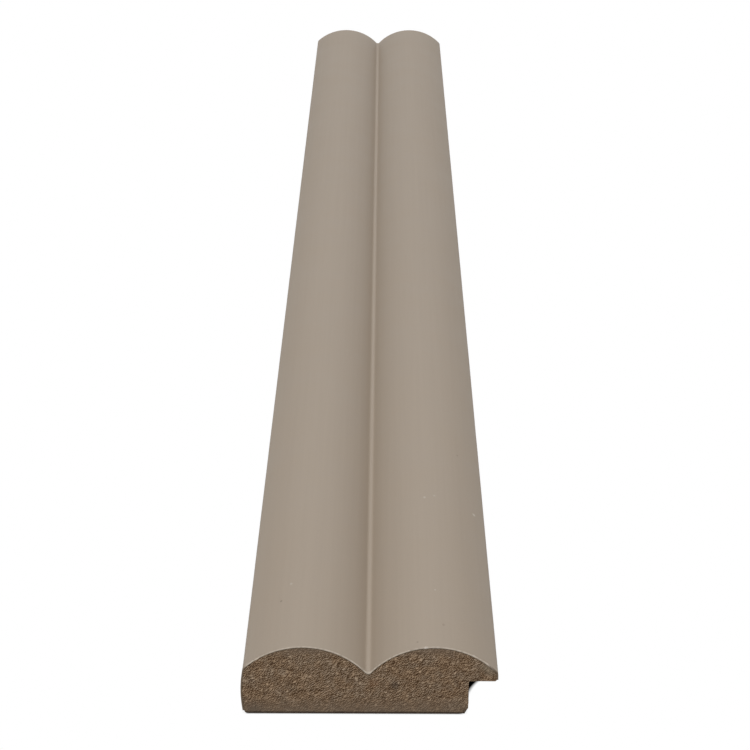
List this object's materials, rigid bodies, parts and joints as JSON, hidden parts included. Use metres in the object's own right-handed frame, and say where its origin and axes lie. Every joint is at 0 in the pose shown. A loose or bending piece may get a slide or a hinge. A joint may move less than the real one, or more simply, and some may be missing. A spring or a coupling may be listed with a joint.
{
  "type": "wall panel end trim",
  "caption": "Straight length of reeded wall panel end trim in foil-wrapped MDF, with a finished free edge and a thin lip over a rebate that takes the next panel.",
  "frame": {"origin": "middle of the flat back, halfway across the width and along the length", "axes": "+X across the width towards the lip, +Y along the length, +Z out of the wall to the reeded face"},
  "size_m": [0.042, 0.5, 0.012],
  "materials": {
    "mdf": "raw fibreboard",
    "foil": "satin"
  },
  "bodies": {
    "root": {"mdf_moulding": "mdf", "finish_foil": "foil"}
  },
  "joints": []
}
